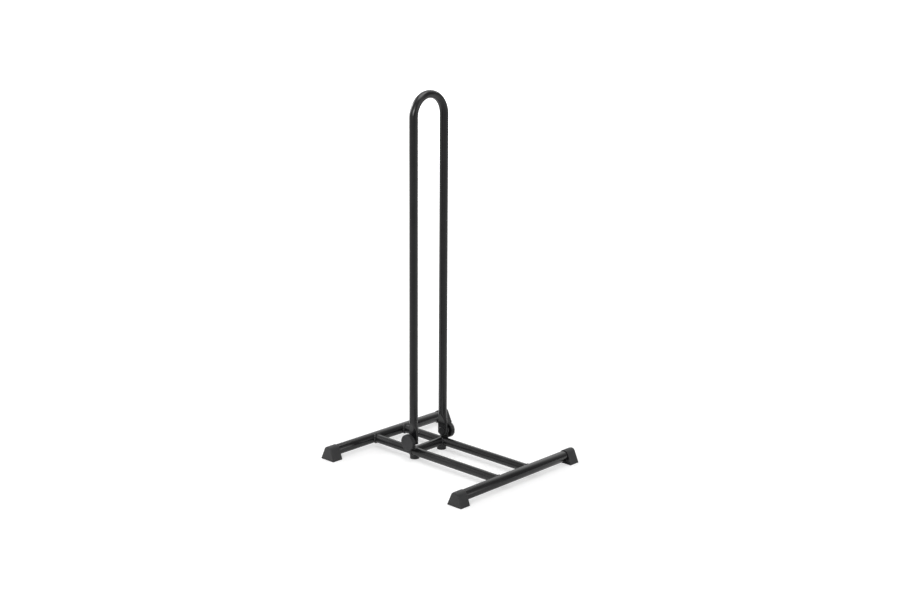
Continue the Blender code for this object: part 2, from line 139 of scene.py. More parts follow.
def softenEdges(bm, width, segments=3):
    # Rounds every edge that turns more than a limit
    limit = math.radians(shading["softenedFrom"])
    edges = [e for e in bm.edges if len(e.link_faces) == 2 and e.calc_face_angle() > limit]
    bmesh.ops.bevel(bm, geom=edges, offset=width, offset_type="OFFSET", segments=segments,
                    profile=0.5, affect="EDGES", clamp_overlap=True, material=-1)


def turnTo(bm, place, direction):
    # Lays a mesh whose own axis is Z along another direction, from a place
    turn = Vector(direction).to_track_quat("Z", "Y").to_matrix().to_4x4()
    bmesh.ops.transform(bm, matrix=Matrix.Translation(place) @ turn, verts=bm.verts)


def meshFrom(bm, name):
    mesh = bpy.data.meshes.new(name)
    bm.to_mesh(mesh)
    bm.free()
    return mesh


def shadeMesh(mesh, sharpAngle):
    mesh.shade_smooth()
    mesh.set_sharp_from_angle(angle=math.radians(sharpAngle))


def addObject(name, data):
    item = bpy.data.objects.new(name, data)
    bpy.context.scene.collection.objects.link(item)
    return item


def addPiece(name, bm, material, body, nodes=(), sharpAngle=shading["sharpAngle"]):
    bmesh.ops.remove_doubles(bm, verts=bm.verts, dist=mergeGap)
    bmesh.ops.recalc_face_normals(bm, faces=bm.faces)
    mesh = meshFrom(bm, name)
    shadeMesh(mesh, sharpAngle)
    mesh.materials.append(material)
    piece = addObject(name, mesh)
    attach(piece, body)
    if nodes:
        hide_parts(*nodes)
    return piece


def applyModifiers(piece):
    bpy.context.view_layer.update()
    evaluated = piece.evaluated_get(bpy.context.evaluated_depsgraph_get())
    mesh = bpy.data.meshes.new_from_object(evaluated)
    piece.modifiers.clear()
    piece.data = mesh
    shadeMesh(mesh, shading["sharpAngle"])


# Small helpers for shader nodes

def feed(tree, socket, value):
    # Links a socket to another node's output, or sets it to a number, a colour or a direction
    if isinstance(value, bpy.types.NodeSocket):
        tree.links.new(value, socket)
    else:
        socket.default_value = value


def addNoise(tree, vector, scale, detail):
    node = tree.nodes.new("ShaderNodeTexNoise")
    for name, value in (("Vector", vector), ("Scale", scale), ("Detail", detail)):
        feed(tree, node.inputs[name], value)
    return node.outputs["Fac"]


def addMath(tree, operation, first, second):
    node = tree.nodes.new("ShaderNodeMath")
    node.operation = operation
    feed(tree, node.inputs[0], first)
    feed(tree, node.inputs[1], second)
    return node.outputs[0]


def addVectorMath(tree, operation, *vectors):
    node = tree.nodes.new("ShaderNodeVectorMath")
    node.operation = operation
    for socket, value in zip(node.inputs, vectors):
        feed(tree, socket, value)
    return node.outputs["Value"]


def addRange(tree, value, low, high, fromLow=0, fromHigh=1):
    node = tree.nodes.new("ShaderNodeMapRange")
    for name, number in (("Value", value), ("From Min", fromLow), ("From Max", fromHigh),
                         ("To Min", low), ("To Max", high)):
        feed(tree, node.inputs[name], number)
    return node.outputs["Result"]


def addMix(tree, factor, first, second):
    node = tree.nodes.new("ShaderNodeMix")
    node.data_type = "RGBA"
    for index, value in ((0, factor), (6, first), (7, second)):     # 6 and 7 take colours
        feed(tree, node.inputs[index], value)
    return node.outputs[2]


def newGroup(name, inputs, outputs):
    group = bpy.data.node_groups.new(name, "ShaderNodeTree")
    for socketName in inputs:
        group.interface.new_socket(socketName, in_out="INPUT", socket_type="NodeSocketFloat")
    for socketName in outputs:
        group.interface.new_socket(socketName, in_out="OUTPUT", socket_type="NodeSocketFloat")
    return group, group.nodes.new("NodeGroupInput"), group.nodes.new("NodeGroupOutput")


def placeGroup(tree, group, values):
    node = tree.nodes.new("ShaderNodeGroup")
    node.node_tree = group
    for name, value in values.items():
        node.inputs[name].default_value = value
    return node


# Shader groups that more than one finish uses

grainPattern = {"fineDetail": 2, "coarseScale": 0.31, "coarseDetail": 1, "fineShare": 0.6,
                "coarseShare": 0.4, "patchDetail": 3, "patchFrom": 0.35, "patchTo": 0.65}
dustPattern = {"speckScale": 500, "speckFrom": 0.05, "speckTo": 0.16, "rareScale": 160,
               "rareDetail": 2, "rareFrom": 0.58, "rareTo": 0.7, "colour": (0.35, 0.34, 0.33, 1)}


def buildGrainGroup():
    # Fine relief of a coat or a moulded skin, and slow patches across it
    group, given, put = newGroup("fine_grain", ["Grain Scale", "Patch Scale"], ["Relief", "Patches"])
    place = group.nodes.new("ShaderNodeTexCoord").outputs["Object"]
    fineScale = given.outputs["Grain Scale"]
    coarseScale = addMath(group, "MULTIPLY", fineScale, grainPattern["coarseScale"])
    fine = addNoise(group, place, fineScale, grainPattern["fineDetail"])
    coarse = addNoise(group, place, coarseScale, grainPattern["coarseDetail"])
    relief = addMath(group, "ADD", addMath(group, "MULTIPLY", fine, grainPattern["fineShare"]),
                     addMath(group, "MULTIPLY", coarse, grainPattern["coarseShare"]))
    group.links.new(relief, put.inputs["Relief"])
    slow = addNoise(group, place, given.outputs["Patch Scale"], grainPattern["patchDetail"])
    patches = addRange(group, slow, 0, 1, grainPattern["patchFrom"], grainPattern["patchTo"])
    group.links.new(patches, put.inputs["Patches"])
    return group


def buildDustGroup():
    # Sparse specks that catch the light, as on any black coat
    group, given, put = newGroup("light_dust", ["Speck Scale", "Amount"], ["Dust"])
    place = group.nodes.new("ShaderNodeTexCoord").outputs["Object"]
    cells = group.nodes.new("ShaderNodeTexVoronoi")
    group.links.new(place, cells.inputs["Vector"])
    group.links.new(given.outputs["Speck Scale"], cells.inputs["Scale"])
    near = addRange(group, cells.outputs["Distance"], 1, 0, dustPattern["speckFrom"],
                    dustPattern["speckTo"])
    rare = addRange(group, addNoise(group, place, dustPattern["rareScale"], dustPattern["rareDetail"]),
                    0, 1, dustPattern["rareFrom"], dustPattern["rareTo"])
    dust = addMath(group, "MULTIPLY", addMath(group, "MULTIPLY", near, rare), given.outputs["Amount"])
    group.links.new(dust, put.inputs["Dust"])
    return group


grainGroup = buildGrainGroup()
dustGroup = buildDustGroup()

finishes = {
    "powderCoat": {"dark": (0.0058, 0.0058, 0.0062), "light": (0.0080, 0.0080, 0.0085),
                   "rough": (0.18, 0.24), "metallic": 0.0, "specular": 0.54, "grain": 1500,
                   "patch": 30, "depth": 0.00005, "strength": 0.2, "dust": 0.06},
    "footPlastic": {"dark": (0.024, 0.024, 0.025), "light": (0.029, 0.029, 0.030),
                    "rough": (0.50, 0.62), "metallic": 0.0, "specular": 0.5, "grain": 2600,
                    "patch": 60, "depth": 0.00005, "strength": 0.35, "dust": 0.14},
    "knobPlastic": {"dark": (0.016, 0.016, 0.017), "light": (0.021, 0.021, 0.022),
                    "rough": (0.34, 0.44), "metallic": 0.0, "specular": 0.5, "grain": 3200,
                    "patch": 80, "depth": 0.00004, "strength": 0.3, "dust": 0.08},
    "blackSteel": {"dark": (0.012, 0.012, 0.013), "light": (0.020, 0.020, 0.021),
                   "rough": (0.30, 0.40), "metallic": 0.5, "specular": 0.5, "grain": 1800,
                   "patch": 120, "depth": 0.00003, "strength": 0.25, "dust": 0.0},
    "plainSteel": {"dark": (0.42, 0.42, 0.43), "light": (0.56, 0.56, 0.58),
                   "rough": (0.24, 0.36), "metallic": 1.0, "specular": 0.5, "grain": 2200,
                   "patch": 150, "depth": 0.00002, "strength": 0.25, "dust": 0.0},
    "nylon": {"dark": (0.030, 0.030, 0.030), "light": (0.042, 0.042, 0.042),
              "rough": (0.45, 0.55), "metallic": 0.0, "specular": 0.5, "grain": 2400,
              "patch": 120, "depth": 0.00003, "strength": 0.2, "dust": 0.0},
}


def buildFinish(name):
    look = finishes[name]
    material = bpy.data.materials.new(name)
    material.use_nodes = True
    tree = material.node_tree
    shader = tree.nodes["Principled BSDF"]
    shader.inputs["Metallic"].default_value = look["metallic"]
    shader.inputs["Specular IOR Level"].default_value = look["specular"]
    grain = placeGroup(tree, grainGroup, {"Grain Scale": look["grain"], "Patch Scale": look["patch"]})
    patches = grain.outputs["Patches"]
    colour = addMix(tree, patches, (*look["dark"], 1), (*look["light"], 1))
    if look["dust"]:
        dust = placeGroup(tree, dustGroup, {"Speck Scale": dustPattern["speckScale"],
                                            "Amount": look["dust"]})
        colour = addMix(tree, dust.outputs["Dust"], colour, dustPattern["colour"])
    tree.links.new(colour, shader.inputs["Base Color"])
    tree.links.new(addRange(tree, patches, *look["rough"]), shader.inputs["Roughness"])
    bump = tree.nodes.new("ShaderNodeBump")
    bump.inputs["Strength"].default_value = look["strength"]
    bump.inputs["Distance"].default_value = look["depth"]
    tree.links.new(grain.outputs["Relief"], bump.inputs["Height"])
    tree.links.new(bump.outputs["Normal"], shader.inputs["Normal"])
    return material


finish = {name: buildFinish(name) for name in finishes}
print("finishes built:", ", ".join(finish))


# Posts, round below and pressed outwards to a flat tab above

post = {"wall": 0.0013, "steps": 96, "shoulderHeight": 0.005, "widening": 0.5, "overRails": 0.0002,
        "squareness": (2, 5, 6), "shoulderSteps": 12, "neckSteps": 4, "roundSteps": 24,
        "roundTo": 88, "sharpAngle": 50}
tabHalf = sizeOf("right_post").x / 2
tabInner = postRadius - 2 * post["wall"]
tabBase = railTop + post["overRails"]
shoulderZ = tabBase - post["shoulderHeight"]


def postShape(z):
    # Inner face, half width and squareness of a post at a height; squareness 2 is an ellipse
    share = max((z - shoulderZ) / post["shoulderHeight"], 0)
    pressed = easing(min(share, 1))
    past = easing(min(max((share - 1) / post["widening"], 0), 1))
    ellipse, shouldered, flat = post["squareness"]
    neck = (postRadius + tabHalf) / 2
    return (-postRadius + (tabInner + postRadius) * pressed,
            postRadius + (neck - postRadius) * pressed + (tabHalf - neck) * past,
            ellipse + (shouldered - ellipse) * pressed ** 2 + (flat - shouldered) * past)


def postHalfAt(out, z):
    # How far a post reaches along X from the hinge line, at a distance out from its own middle
    inner, half, power = postShape(z)
    share = abs(out - (inner + postRadius) / 2) / ((postRadius - inner) / 2)
    return half * (1 - share ** power) ** (1 / power) if share < 1 else 0


def postInnerAt(x, z):
    # Where a post's inner side is, at a distance from the hinge line
    inner, half, power = postShape(z)
    share = abs(x) / half
    if share >= 1:
        return postRadius
    return (inner + postRadius) / 2 - (postRadius - inner) / 2 * (1 - share ** power) ** (1 / power)


def postRing(side, z, shape, inset=0.0):
    inner, half, power = shape
    middle, depth = (inner + postRadius) / 2, (postRadius - inner) / 2 - inset
    ring = []
    for c, s in circlePoints(1, post["steps"]):
        across = math.copysign(abs(s) ** (2 / power), s) * (half - inset)
        out = middle + math.copysign(abs(c) ** (2 / power), c) * depth
        ring.append((hingeX + across, side * (postY + out), z))
    return ring


def addPost(sideName):
    # From the closed top of the bore, down and out of it, and up the outside to the tab's round top
    side = sides[sideName]
    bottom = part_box(f"{sideName}_post")[0].z
    plain = postShape(bottom)
    sections = [postRing(side, shoulderZ - post["wall"], plain, post["wall"]),
                postRing(side, bottom, plain, post["wall"]), postRing(side, bottom, plain)]
    steps = post["shoulderSteps"] + post["neckSteps"]
    for i in range(steps + 1):
        z = shoulderZ + post["shoulderHeight"] * i / post["shoulderSteps"]
        sections.append(postRing(side, z, postShape(z)))
    inner, half, power = postShape(hingeZ)
    for i in range(post["roundSteps"]):
        angle = math.radians(post["roundTo"]) * i / (post["roundSteps"] - 1)
        sections.append(postRing(side, hingeZ + half * math.sin(angle),
                                 (inner, half * math.cos(angle), power)))
    bm = stackSections(sections)
    addPiece(f"{sideName}_post_coated", bm, finish["powderCoat"], "base",
             [f"{sideName}_post"], post["sharpAngle"])


for sideName in sides:
    addPost(sideName)
print("posts pressed")


# Tubes of the base, each end cut to sit round what it is welded to

tubes = {"wall": 0.0015, "steps": 96, "seat": 0.0001, "edge": 0.0002, "sharpAngle": 50}


def tubeProfile(radius, low, high):
    inner = radius - tubes["wall"]
    return [(radius, low), (radius, high), (inner, high), (inner, low)]


def railStart(y, z):
    # How far from the hinge line a rail starts, at its post or past the post's side
    return postHalfAt(abs(y) - postY, z) + tubes["seat"]


def crossbarEnd(x, z):
    # How far from the stand's middle the crossbar ends, at a post or at a rail
    atPost = postY + postInnerAt(x - hingeX, z)
    return min(atPost, railY - roundReach(railRadius, z - axisZ)) - tubes["seat"]


def addCrossTube(end):
    low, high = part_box(f"{end}_cross_tube")
    bm = spinProfile(tubeProfile(crossRadius, low.y, high.y), tubes["steps"], ring=True)
    softenEdges(bm, tubes["edge"], segments=2)
    turnTo(bm, (crossX[end], 0, axisZ), (0, 1, 0))
    addPiece(f"{end}_cross_tube_coated", bm, finish["powderCoat"], "base",
             [f"{end}_cross_tube"])


def addRail(sideName, end):
    # A tube one metre long, whose ends then move to the post and to the cross tube
    way, y = ends[end], sides[sideName] * railY
    bm = spinProfile(tubeProfile(railRadius, 0, 1), tubes["steps"], ring=True)
    turnTo(bm, (0, y, axisZ), (1, 0, 0))
    for vert in bm.verts:
        if vert.co.x < 0.5:
            vert.co.x = hingeX + way * railStart(vert.co.y, vert.co.z)
        else:
            reach = roundReach(crossRadius, vert.co.z - axisZ) + tubes["seat"]
            vert.co.x = crossX[end] - way * reach
    addPiece(f"{sideName}_{end}_rail_coated", bm, finish["powderCoat"], "base",
             [f"{sideName}_{end}_rail"], tubes["sharpAngle"])


def addCrossbar():
    bm = spinProfile(tubeProfile(railRadius, -1, 1), tubes["steps"], ring=True)
    turnTo(bm, (hingeX, 0, axisZ), (0, 1, 0))
    for vert in bm.verts:
        vert.co.y = math.copysign(crossbarEnd(vert.co.x, vert.co.z), vert.co.y)
    addPiece("middle_crossbar_coated", bm, finish["powderCoat"], "base",
             ["middle_crossbar"], tubes["sharpAngle"])


for endName in ends:
    addCrossTube(endName)
    for sideName in sides:
        addRail(sideName, endName)
addCrossbar()
print("base tubes made")


# Weld beads, laid all round each joint with the ripples that the torch leaves

weld = {"lift": 0.0002, "lag": 0.9, "wobble": 0.07, "waves": ((3, 1), (7, 0.5)), "stretch": 1.1,
        "around": 16, "perRipple": 12, "sharpAngle": 60}
beads = {"front": {"radius": 0.0013, "pitch": 0.0013, "ripple": 0.09},
         "rear": {"radius": 0.0025, "pitch": 0.0034, "ripple": 0.26},
         "post": {"radius": 0.0013, "pitch": 0.0013, "ripple": 0.09}}


def jointCurve(count, pointAt, mainNormalAt, middle):
    # Points once round a joint, each with the mean normal of the two surfaces that meet there
    curve = []
    for c, s in circlePoints(1, count):
        place = pointAt(railRadius * c, railRadius * s)
        own = place - middle(place)
        curve.append((place, (own.normalized() + mainNormalAt(place)).normalized()))
    return curve


def addBead(name, bead, joint, top=math.inf):
    # A bead's girth swells with each ripple and in a few slow waves, and is dressed flat at the top
    ripples = round(2 * math.pi * railRadius * weld["stretch"] / bead["pitch"])
    count = ripples * weld["perRipple"]
    curve = jointCurve(count, *joint)
    sections = []
    for i, (place, normal) in enumerate(curve):
        tangent = (curve[(i + 1) % count][0] - curve[i - 1][0]).normalized()
        normal = (normal - tangent * normal.dot(tangent)).normalized()
        across = tangent.cross(normal)
        share = i / count
        wave = sum(size * math.sin(2 * math.pi * waves * share + size * len(name))
                   for waves, size in weld["waves"])
        section = []
        for c, s in circlePoints(1, weld["around"]):
            phase = (share * ripples + weld["lag"] * (1 - c) / 2) % 1
            size = bead["radius"] * (1 + weld["wobble"] * wave) * (1 + bead["ripple"] * (0.5 - phase))
            spot = place + normal * (weld["lift"] + size * c) + across * (size * s)
            spot.z = min(spot.z, top)
            section.append(spot)
        sections.append(section)
    bm = stackSections(sections, closed=True)
    addPiece(name, bm, finish["powderCoat"], "base", sharpAngle=weld["sharpAngle"])


def weldRail(sideName, end):
    # Round a rail, at its cross tube and at its post
    way, y = ends[end], sides[sideName] * railY
    crossAxis = Vector((crossX[end], 0, axisZ))

    def railMiddle(place):
        return Vector((place.x, y, axisZ))

    def atCrossTube(up, out):
        return Vector((crossX[end] - way * roundReach(crossRadius, up), y + out, axisZ + up))

    def crossNormal(place):
        return (place - crossAxis - Vector((0, place.y, 0))).normalized()

    addBead(f"{sideName}_{end}_rail_weld", beads[end], (atCrossTube, crossNormal, railMiddle))

    def atPost(up, out):
        reach = railStart(y + out, axisZ + up)
        return Vector((hingeX + way * reach, y + out, axisZ + up))

    def postNormal(place):
        return Vector((way, 0, 0))

    addBead(f"{sideName}_{end}_post_weld", beads["post"], (atPost, postNormal, railMiddle), railTop)


def weldCrossbar(sideName):
    side = sides[sideName]

    def barMiddle(place):
        return Vector((hingeX, place.y, axisZ))

    def atPost(up, along):
        reach = crossbarEnd(hingeX + along, axisZ + up)
        return Vector((hingeX + along, side * reach, axisZ + up))

    def railNormal(place):
        return Vector((0, -side, 0))

    addBead(f"{sideName}_crossbar_weld", beads["post"], (atPost, railNormal, barMiddle), railTop)


for sideName in sides:
    for endName in ends:
        weldRail(sideName, endName)
    weldCrossbar(sideName)
print("welds laid")


# Plugs in the open lower ends of the posts

plug = {"stem": 0.009, "seat": 0.0003, "edge": 0.0005, "steps": 64}


def addPlug(sideName):
    low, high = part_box(f"{sideName}_post_plug")
    stem = postRadius - post["wall"] - plug["seat"]
    flange = high.z - plug["stem"]
    profile = [(0, high.z), (stem, high.z), (stem, flange), (postRadius, flange),
               (postRadius, low.z), (0, low.z)]
    bm = spinProfile(profile, plug["steps"])
    softenEdges(bm, plug["edge"])
    turnTo(bm, (hingeX, sides[sideName] * postY, 0), (0, 0, 1))
    addPiece(f"{sideName}_post_plug_moulded", bm, finish["footPlastic"], "base",
             [f"{sideName}_post_plug"])


for sideName in sides:
    addPlug(sideName)


# Feet, pushed on the ends of the cross tubes

foot = {"wall": 0.0011, "endWall": 0.007, "sideWall": 0.0022, "soleWall": 0.0016, "recess": 0.005,
        "corner": 0.001, "edge": 0.0006, "round": 0.0055, "crest": 0.0065, "crestDrop": 0.0004,
        "mouthEdge": 0.0004, "seat": 0.0001, "crestSteps": 40, "cornerSteps": 8, "flankSteps": 8,
        "endSteps": 12, "mouthSteps": 4, "sharpAngle": 40}


def arcPoints(centre, radius, first, last, count):
    step = (last - first) / (count - 1)
    return [(centre[0] + radius * math.cos(first + step * i),
             centre[1] + radius * math.sin(first + step * i)) for i in range(count)]


def linePoints(first, last, count):
    # Points between two, both left out
    shares = [(i + 1) / (count + 1) for i in range(count)]
    return [(first[0] + (last[0] - first[0]) * t, first[1] + (last[1] - first[1]) * t) for t in shares]


def footOutline(radius, top, half, floor=0.0):
    # Three arcs and their tangents, over the tube and round the two bottom edges
    corner, crestZ = foot["corner"], top - radius
    cornerX, cornerZ = half - corner, floor + corner
    rise = crestZ - cornerZ
    lean = math.acos((radius - corner) / math.hypot(cornerX, rise)) - math.atan2(rise, cornerX)
    crest = arcPoints((0, crestZ), radius, lean, math.pi - lean, foot["crestSteps"])
    right = arcPoints((cornerX, cornerZ), corner, -math.pi / 2, lean, foot["cornerSteps"])
    left = arcPoints((-cornerX, cornerZ), corner, math.pi - lean, 1.5 * math.pi, foot["cornerSteps"])
    steps = foot["flankSteps"]
    return (right + linePoints(right[-1], crest[0], steps) + crest
            + linePoints(crest[-1], left[0], steps) + left + linePoints(left[-1], right[0], steps))


def footSections(half, length):
    # From the end of the bore, out of the recess in the mouth, and along the outside
    overTube = crossRadius + foot["seat"]
    radius = overTube + foot["wall"]
    hollow = footOutline(overTube, axisZ + overTube, half - foot["sideWall"], foot["soleWall"])
    angles = [math.atan2(z - axisZ, x) for x, z in hollow]
    bore = [(overTube * math.cos(angle), axisZ + overTube * math.sin(angle)) for angle in angles]
    recess = length - foot["recess"]
    sections = [(foot["endWall"], bore), (recess, bore), (recess, hollow), (length, hollow)]
    for angle in quarterTurn(foot["mouthSteps"]):
        inset = foot["mouthEdge"] * (1 - math.sin(angle))
        sections.append((length - foot["mouthEdge"] * (1 - math.cos(angle)),
                         footOutline(radius - inset, axisZ + radius - inset, half - inset)))
    sections.append((length / 2, footOutline(radius, axisZ + radius, half)))
    edge, endRound = foot["edge"], foot["round"]
    depths = {reach * (1 - math.sin(angle)) for reach in (endRound, edge)
              for angle in quarterTurn(foot["endSteps"])}
    for depth in sorted(depths, reverse=True):
        share = 1 - roundReach(endRound, endRound - depth) / endRound
        inset = edge - roundReach(edge, max(edge - depth, 0))
        lift = inset / 2     # the crest and the sole draw in half as far as the sides
        top = axisZ + radius - foot["crestDrop"] * share - lift
        crest = radius + (foot["crest"] - radius) * share
        sections.append((depth, footOutline(crest, top, half - inset, lift)))
    return sections


def addFoot(end, sideName):
    node = f"{end}_{sideName}_foot"
    low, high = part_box(node)
    side = sides[sideName]
    outerFace = high.y if side > 0 else low.y
    sections = [[(crossX[end] + x, outerFace - side * y, z) for x, z in outline]
                for y, outline in footSections((high.x - low.x) / 2, high.y - low.y)]
    bm = stackSections(sections)
    addPiece(f"{node}_moulded", bm, finish["footPlastic"], "base", [node],
             foot["sharpAngle"])


for endName in ends:
    for sideName in sides:
        addFoot(endName, sideName)
print("feet and plugs moulded")


# Hoop: one bent tube with both ends pressed flat

hoop = {"wall": 0.0015, "slit": 0.0025, "belowPivot": 0.0065, "abovePivot": 0.018, "crimp": 0.026,
        "corner": 0.0055, "flattening": 0.075, "widening": 0.04, "fullBy": 0.5, "steps": 64,
        "flatStations": 4, "crimpStations": 20, "bendStations": 36, "boltHole": 0.0086}
flatHalf = hoop["wall"] + hoop["slit"] / 2


def pressFlat(out, across, halfThickness):
    # The outside keeps its length round: two straight sides and two half rounds
    walked = railRadius * math.atan2(abs(across), abs(out))
    straight = math.pi * (railRadius - halfThickness) / 2
    if walked <= straight:
        pressed = (halfThickness, walked)
    else:
        angle = (walked - straight) / halfThickness
        pressed = (halfThickness * math.cos(angle), straight + halfThickness * math.sin(angle))
    return math.copysign(pressed[0], out), math.copysign(pressed[1], across)


def flatSections(circle):
    # The flat end, its bottom corners rounded off
    endZ, creaseZ, corner = hingeZ - hoop["belowPivot"], hingeZ + hoop["abovePivot"], hoop["corner"]
    flat = [pressFlat(out, across, flatHalf) for out, across in circle]
    cornerFrom = max(across for out, across in flat) - corner
    sections = []
    for i in range(hoop["flatStations"]):
        section = []
        for out, across in flat:
            past = max(abs(across) - cornerFrom, 0)
            low = endZ + corner - roundReach(corner, past)
            z = low + (creaseZ - low) * i / hoop["flatStations"]
            section.append((hingeX + across, railY + out, z))
        sections.append(section)
    return sections


def crimpSections(circle):
    # From the crease, where the tube starts to swell, to the full round
    sections = []
    for i in range(hoop["crimpStations"] + 1):
        share = i / hoop["crimpStations"]
        half = flatHalf + (railRadius - flatHalf) * easing(share)
        z = hingeZ + hoop["abovePivot"] + hoop["crimp"] * share
        sections.append([(hingeX + across, railY + out, z)
                         for out, across in (pressFlat(*point, half) for point in circle)])
    return sections


def bendSections(circle):
    # Up to the middle of the bend, where the tube is a little less deep and a little wider
    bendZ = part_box("hoop")[1].z - railRadius * (1 - hoop["flattening"]) - railY
    sections = []
    for angle in quarterTurn(hoop["bendStations"]):
        share = math.sin(math.pi / 2 * min(math.sin(angle) / hoop["fullBy"], 1)) ** 2
        deep, wide = 1 - hoop["flattening"] * share, 1 + hoop["widening"] * share
        sections.append([(hingeX + across * wide, (railY + out * deep) * math.cos(angle),
                          bendZ + (railY + out * deep) * math.sin(angle)) for out, across in circle])
    return sections


def cutWith(piece, bm):
    # Cuts a hole, then throws the cutter away
    cutter = addObject("cutter", meshFrom(bm, "cutter"))
    boolean = piece.modifiers.new("hole", "BOOLEAN")
    boolean.object = cutter
    boolean.solver = "EXACT"
    applyModifiers(piece)
    bpy.data.objects.remove(cutter)


def addHoop():
    # Half of the hoop, mirrored, then given its wall and one square hole through both legs
    circle = circlePoints(railRadius, hoop["steps"], math.pi / hoop["steps"])
    sections = flatSections(circle) + crimpSections(circle) + bendSections(circle)
    bm = stackSections(sections, capStart=False, capEnd=False)
    bmesh.ops.mirror(bm, geom=bm.verts[:] + bm.edges[:] + bm.faces[:], axis="Y", merge_dist=mergeGap)
    piece = addPiece("hoop_coated", bm, finish["powderCoat"], "hoop", ["hoop"])
    wall = piece.modifiers.new("wall", "SOLIDIFY")
    wall.thickness = hoop["wall"]
    wall.offset = -1
    wall.use_even_offset = True
    applyModifiers(piece)
    hole = bmesh.new()
    bmesh.ops.create_cube(hole, size=1)
    bmesh.ops.scale(hole, vec=(hoop["boltHole"], 4 * railY, hoop["boltHole"]), verts=hole.verts)
    bmesh.ops.translate(hole, vec=(hingeX, 0, hingeZ), verts=hole.verts)
    cutWith(piece, hole)


addHoop()
print("hoop bent and pressed")


# Hinge hardware, outwards from the middle of each leg

hardware = {"steps": 64, "seat": 0.0003, "edge": 0.0003, "edgeShare": 0.22, "domeSteps": 10}
bolt = {"radius": 0.004, "headSquareness": 4, "chamfer": 0.0006, "neckEdge": 0.0004,
        "threadPitch": 0.00125, "threadDepth": 0.0007, "threadGap": 0.00006, "threadSink": 0.0001,
        "threadCrest": 0.00008, "threadSteps": 24}


def outFrom(sideName):
    side = sides[sideName]
    return Vector((hingeX, side * railY, hingeZ)), Vector((0, side, 0))


def outSpan(node, sideName):
    # A node's nearest and farthest distance out from the middle of its leg
    low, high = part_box(node)
    spans = sorted((sides[sideName] * low.y - railY, sides[sideName] * high.y - railY))
    return spans[0], spans[1]


def addRound(sideName, kind, material, body):
    # A washer, or the insert of a knob, round the bolt
    node = f"{sideName}_{kind}"
    near, far = outSpan(node, sideName)
    outer, inner = sizeOf(node).z / 2, hoop["boltHole"] / 2
    bm = spinProfile([(outer, far), (outer, near), (inner, near), (inner, far)], hardware["steps"],
                     ring=True)
    softenEdges(bm, min((far - near) * hardware["edgeShare"], hardware["edge"]))
    turnTo(bm, *outFrom(sideName))
    addPiece(f"{node}_turned", bm, finish[material], body, [node])


def addBolt(sideName):
    node = f"{sideName}_pivot_bolt"
    near, far = outSpan(node, sideName)
    headRadius = sizeOf(node).z / 2
    headFace, neckEnd = -flatHalf - hardware["seat"], flatHalf + hardware["seat"]
    root, chamfer = bolt["radius"] - bolt["threadDepth"], bolt["chamfer"]
    profile = [(0, far), (root - chamfer, far), (root, far - chamfer), (root, neckEnd),
               (bolt["radius"], neckEnd), (bolt["radius"], headFace), (headRadius, headFace)]
    flat = 2 / bolt["headSquareness"]
    for angle in quarterTurn(hardware["domeSteps"])[1:-1]:
        profile.append((headRadius * math.cos(angle) ** flat,
                        headFace - (headFace - near) * math.sin(angle) ** flat))
    profile.append((0, near))
    bm = spinProfile(profile, hardware["steps"])
    turnTo(bm, *outFrom(sideName))
    addPiece(f"{node}_turned", bm, finish["blackSteel"], "hoop", [node])


def addBoltNeck(sideName):
    # The square under the head, which keeps the bolt from turning in the leg
    bm = bmesh.new()
    bmesh.ops.create_cube(bm, size=2)
    bmesh.ops.scale(bm, vec=(bolt["radius"], bolt["radius"], flatHalf), verts=bm.verts)
    softenEdges(bm, bolt["neckEdge"], segments=2)
    turnTo(bm, *outFrom(sideName))
    addPiece(f"{sideName}_bolt_neck", bm, finish["blackSteel"], "hoop")


def addThread(sideName):
    # A ridge wound round the shank, from the leg to the bolt's end
    pitch, depth = bolt["threadPitch"], bolt["threadDepth"]
    near = flatHalf + 2 * hardware["seat"]
    far = outSpan(f"{sideName}_pivot_bolt", sideName)[1] - bolt["chamfer"]
    turns = int((far - near - pitch) / pitch)
    root, crest = bolt["radius"] - depth - bolt["threadSink"], bolt["radius"]
    gap, flat = bolt["threadGap"] / 2, bolt["threadCrest"]
    bm = bmesh.new()
    profile = [(root, gap), (crest, pitch / 2 - flat), (crest, pitch / 2 + flat), (root, pitch - gap)]
    verts = [bm.verts.new((radius, 0, near + height)) for radius, height in profile]
    face = bm.faces.new(verts)
    bmesh.ops.spin(bm, geom=[face], cent=(0, 0, 0), axis=(0, 0, 1),
                   dvec=(0, 0, pitch / bolt["threadSteps"]), angle=2 * math.pi * turns,
                   steps=bolt["threadSteps"] * turns, use_merge=False)
    turnTo(bm, *outFrom(sideName))
    addPiece(f"{sideName}_bolt_thread", bm, finish["blackSteel"], "hoop")


for sideName in sides:
    addBolt(sideName)
    addBoltNeck(sideName)
    addThread(sideName)
    addRound(sideName, "friction_washer", "nylon", "hoop")
    addRound(sideName, "knob_washer", "plainSteel", f"{sideName}_knob_carriage")
    addRound(sideName, "knob_insert", "plainSteel", f"{sideName}_knob")
print("bolts, washers and inserts made")


# Knobs, a fluted disc on a round hub

knob = {"radius": 0.01675, "thickness": 0.0088, "hubRadius": 0.0085, "hubEdge": 0.0004,
        "faceWall": 0.0025, "rimWall": 0.0024, "flutes": 30, "pointsPerFlute": 8,
        "fluteDepth": 0.0012, "edge": 0.0007, "edgeSteps": 6, "faceShare": 0.8}


def knobRing(radius, height, depth=0.0):
    count = knob["flutes"] * knob["pointsPerFlute"]
    ring = []
    for c, s in circlePoints(1, count):
        turn = math.cos(knob["flutes"] * math.atan2(s, c))
        r = radius - depth * (1 + turn) / 2
        ring.append((r * c, r * s, height))
    return ring


